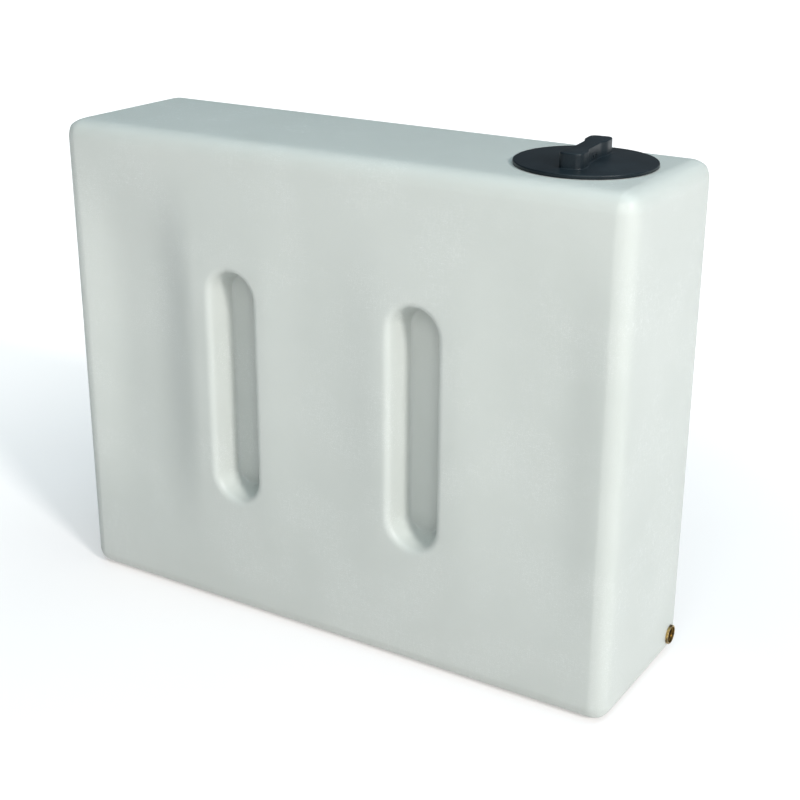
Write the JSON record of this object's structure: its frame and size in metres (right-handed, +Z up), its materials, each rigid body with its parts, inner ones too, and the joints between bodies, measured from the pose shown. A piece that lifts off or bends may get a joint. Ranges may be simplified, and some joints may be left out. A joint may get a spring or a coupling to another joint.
{
  "type": "fresh water tank",
  "caption": "Upright moulded fresh water tank with slot recesses in its long walls, a screw lid with a bar grip and splash vent on top, and a threaded outlet low in one end.",
  "frame": {"origin": "middle of the flat base, midway along the tank and midway between its long walls", "axes": "+X along the tank towards the outlet end, +Y from the front long wall to the rear one, +Z up"},
  "size_m": [1.004, 0.29, 0.828],
  "materials": {
    "natural_polyethylene": "natural, slightly translucent rotomoulded polyethylene with a soft satin skin",
    "black_polypropylene": "satin gloss injection moulded black polypropylene",
    "black_ring_polypropylene": "matt injection moulded black polypropylene",
    "epdm_rubber": "matt black EPDM",
    "stainless_steel": "plain stainless steel",
    "white_polypropylene": "white injection moulded polypropylene",
    "brass": "turned brass, lightly tarnished"
  },
  "bodies": {
    "tank": {"tank_shell": "natural_polyethylene", "neck_ring": "black_ring_polypropylene", "neck_gasket": "epdm_rubber", "neck_back_ring": "black_ring_polypropylene", "ring_screw_1": "stainless_steel", "ring_screw_2": "stainless_steel", "ring_screw_3": "stainless_steel", "ring_screw_4": "stainless_steel", "ring_screw_5": "stainless_steel", "ring_screw_6": "stainless_steel", "ring_screw_7": "stainless_steel", "ring_screw_8": "stainless_steel", "outlet_insert": "brass"},
    "seal": {"lid_seal": "epdm_rubber"},
    "seat": {"vent_seat": "epdm_rubber"},
    "lid": {"lid": "black_polypropylene", "lid_skirt": "black_polypropylene", "vent_screen": "stainless_steel", "vent_cage": "white_polypropylene", "vent_screw_1": "stainless_steel", "vent_screw_2": "stainless_steel"},
    "float": {"vent_ball": "white_polypropylene"}
  },
  "joints": [
    {"name": "lid_lift", "type": "slide", "parent": "tank", "child": "seal", "axis": [0, 0, 1], "range_m": [0, 0.12]},
    {"name": "lid_rise", "type": "slide", "parent": "seal", "child": "seat", "axis": [0, 0, 1], "range_m": [0, 0.0151]},
    {"name": "lid_turn", "type": "hinge", "parent": "seat", "child": "lid", "pos_m": [0.361, 0, 0.8], "axis": [0, 0, 1], "range_deg": [0, 900]},
    {"name": "vent_float", "type": "slide", "parent": "lid", "child": "float", "axis": [0, 0, 1], "range_m": [0, 0.0055]}
  ],
  "couplings": [
    {"joint": "lid_rise", "follows": "lid_turn", "m_per_rad": 0.00095493}
  ]
}
